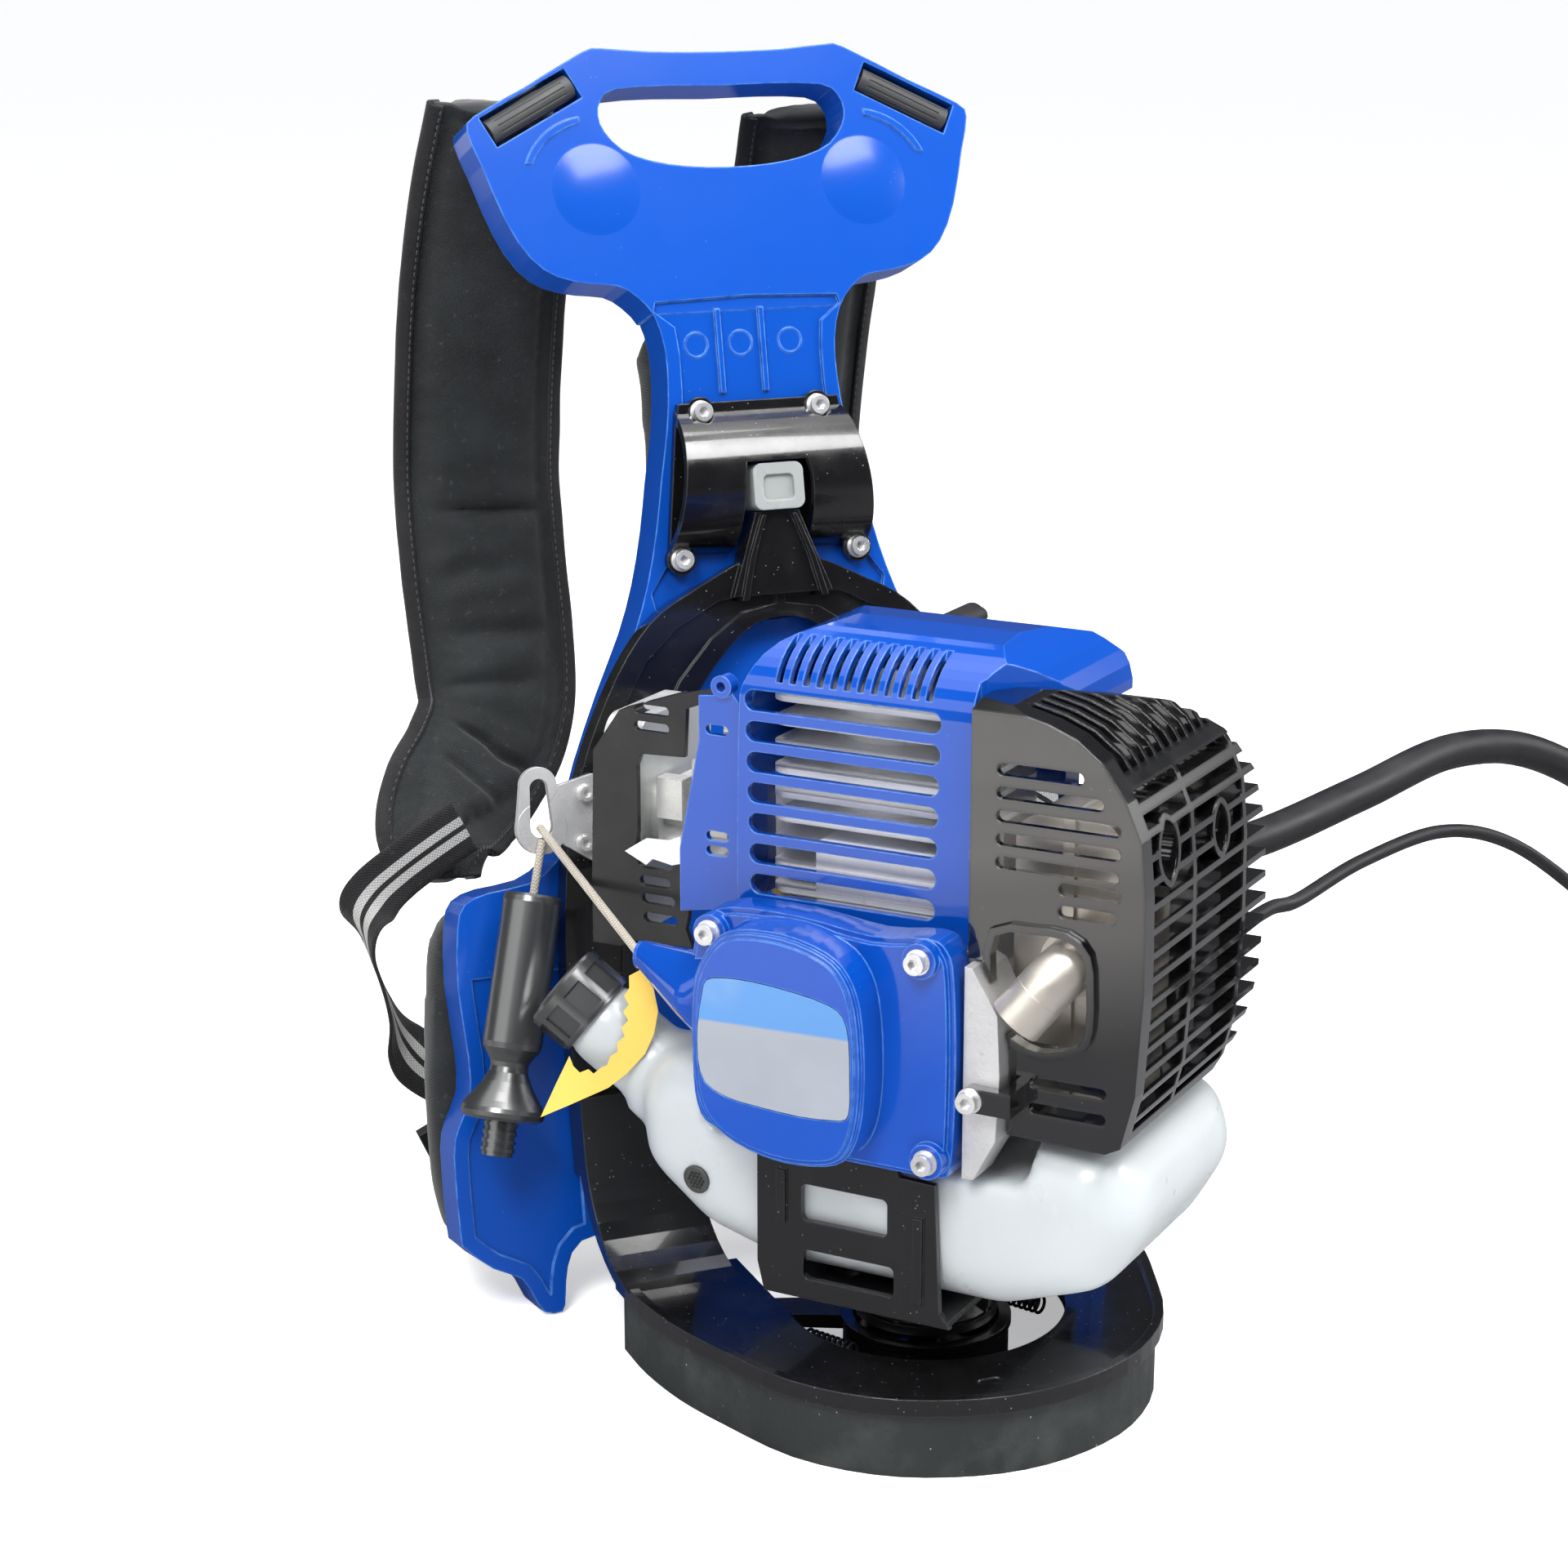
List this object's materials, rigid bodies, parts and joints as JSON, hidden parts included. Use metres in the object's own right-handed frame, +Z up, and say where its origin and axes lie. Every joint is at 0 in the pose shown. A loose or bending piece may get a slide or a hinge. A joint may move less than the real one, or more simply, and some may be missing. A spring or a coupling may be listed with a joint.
{
  "type": "backpack brush cutter power unit",
  "caption": "Backpack power unit: petrol engine on a swivelling base ring, moulded back frame with padded straps, recoil starter, flexible drive hose and throttle cable.",
  "frame": {"origin": "on the floor under the axis about which the engine swivels", "axes": "+Z up, +Y towards the wearer, +X to the side where the drive hose leaves"},
  "size_m": [0.8034, 0.4311, 0.5236],
  "materials": {
    "blue_plastic": "moulded gloss",
    "black_gloss_plastic": "moulded gloss",
    "black_matte_plastic": "moulded satin",
    "black_rubber": "matt",
    "hose_rubber": "satin",
    "block_plastic": "translucent, satin",
    "screw_steel": "zinc plated",
    "black_steel": "semi-gloss paint",
    "cast_aluminium": "as cast",
    "tank_plastic": "translucent, satin",
    "yellow_card": "matt card",
    "strap_fabric": "woven, padded",
    "label_foil": "smooth foil",
    "rope_fibre": "braided",
    "grey_plastic": "satin",
    "white_plastic": "satin",
    "steel": "satin, heat tinted",
    "clear_rubber": "translucent"
  },
  "bodies": {
    "frame": {"back_frame": "blue_plastic", "saddle_clamp": "black_gloss_plastic", "saddle_block": "block_plastic", "clamp_screws": "screw_steel", "carrier_hoop": "black_gloss_plastic", "base_skirt": "black_matte_plastic", "pivot_cup": "black_gloss_plastic", "pivot_arm": "black_steel", "damper_springs": "black_steel", "rope_guide": "cast_aluminium", "guide_screws": "screw_steel", "back_pad": "strap_fabric", "strap_left": "strap_fabric", "strap_right": "strap_fabric", "webbing_left": "strap_fabric", "webbing_right": "strap_fabric", "strap_buckles": "black_matte_plastic"},
    "roller_left": {"roller_left": "black_rubber"},
    "roller_right": {"roller_right": "black_rubber"},
    "engine": {"pivot_hub": "black_steel", "tank_bracket": "black_steel", "fuel_tank": "tank_plastic", "filler_tag": "yellow_card", "crankcase": "cast_aluminium", "cylinder": "cast_aluminium", "shroud": "blue_plastic", "intake_panel": "blue_plastic", "starter_cover": "blue_plastic", "starter_screws": "screw_steel", "label_plate": "label_foil", "starter_rope": "rope_fibre", "muffler": "steel", "exhaust_deflector": "steel", "muffler_guard": "black_gloss_plastic", "filter_plate": "black_matte_plastic", "filter_box": "black_matte_plastic", "carburettor": "cast_aluminium", "intake_flange": "black_rubber", "plug_cap": "black_matte_plastic", "ignition_lead": "black_rubber", "clutch_housing": "black_matte_plastic", "drive_hose": "hose_rubber", "hose_connector": "steel", "throttle_cable": "hose_rubber", "cable_coil": "hose_rubber", "cable_connector": "black_rubber", "cable_gland": "black_rubber", "fuel_lines": "clear_rubber"},
    "fuel_cap": {"fuel_cap": "black_matte_plastic"},
    "choke": {"choke_lever": "white_plastic"},
    "throttle": {"throttle_lever": "grey_plastic"},
    "primer": {"primer_bulb": "clear_rubber"},
    "pulley": {"starter_pulley": "grey_plastic"},
    "crank": {"flywheel": "cast_aluminium"},
    "drum": {"clutch_drum": "steel"},
    "grip": {"starter_grip": "black_gloss_plastic", "grip_rope": "rope_fibre"}
  },
  "joints": [
    {"name": "engine_swivel", "type": "hinge", "parent": "frame", "child": "engine", "pos_m": [0, 0, 0.03], "axis": [0, 0, 1], "range_deg": [-12, 1], "stiffness_Nm_per_rad": 4, "deforming": ["starter_rope"]},
    {"name": "left_roller_spin", "type": "hinge", "parent": "frame", "child": "roller_left", "pos_m": [-0.08667, 0.23218, 0.49821], "axis": [-0.8899, -0.156, -0.4286], "continuous": true},
    {"name": "right_roller_spin", "type": "hinge", "parent": "frame", "child": "roller_right", "pos_m": [0.08667, 0.23218, 0.49821], "axis": [0.8899, -0.156, -0.4286], "continuous": true},
    {"name": "fuel_cap_turn", "type": "hinge", "parent": "engine", "child": "fuel_cap", "pos_m": [-0.11632, 0.08054, 0.14717], "axis": [-0.6375, 0.4632, 0.6157], "continuous": true},
    {"name": "choke_turn", "type": "hinge", "parent": "engine", "child": "choke", "pos_m": [-0.07999, 0.06421, 0.216], "axis": [-0.766, -0.6428, 0], "range_deg": [0, 50]},
    {"name": "throttle_turn", "type": "hinge", "parent": "engine", "child": "throttle", "pos_m": [-0.05414, 0.07075, 0.255], "axis": [0, 0, 1], "range_deg": [0, 55], "stiffness_Nm_per_rad": 0.02, "springref_deg": -11.46},
    {"name": "primer_press", "type": "slide", "parent": "engine", "child": "primer", "axis": [0, 0, 1], "range_m": [0, 0.002], "stiffness_N_per_m": 400, "springref_m": -0.0005},
    {"name": "grip_pull", "type": "slide", "parent": "frame", "child": "grip", "axis": [-0.9539, 0, 0.3], "range_m": [0, 0.6], "stiffness_N_per_m": 25, "springref_m": -0.3, "deforming": ["grip_rope"]},
    {"name": "pulley_spin", "type": "hinge", "parent": "engine", "child": "pulley", "pos_m": [-0.05625, -0.02631, 0.166], "axis": [-0.766, -0.6428, 0], "range_deg": [0, 1190]},
    {"name": "crank_spin", "type": "hinge", "parent": "engine", "child": "crank", "pos_m": [-0.01028, 0.01226, 0.166], "axis": [0.766, 0.6428, 0], "continuous": true},
    {"name": "drum_spin", "type": "hinge", "parent": "engine", "child": "drum", "pos_m": [0.03568, 0.05082, 0.166], "axis": [0.766, 0.6428, 0], "continuous": true}
  ],
  "couplings": [
    {"joint": "pulley_spin", "follows": "grip_pull", "rad_per_m": 34.483}
  ]
}
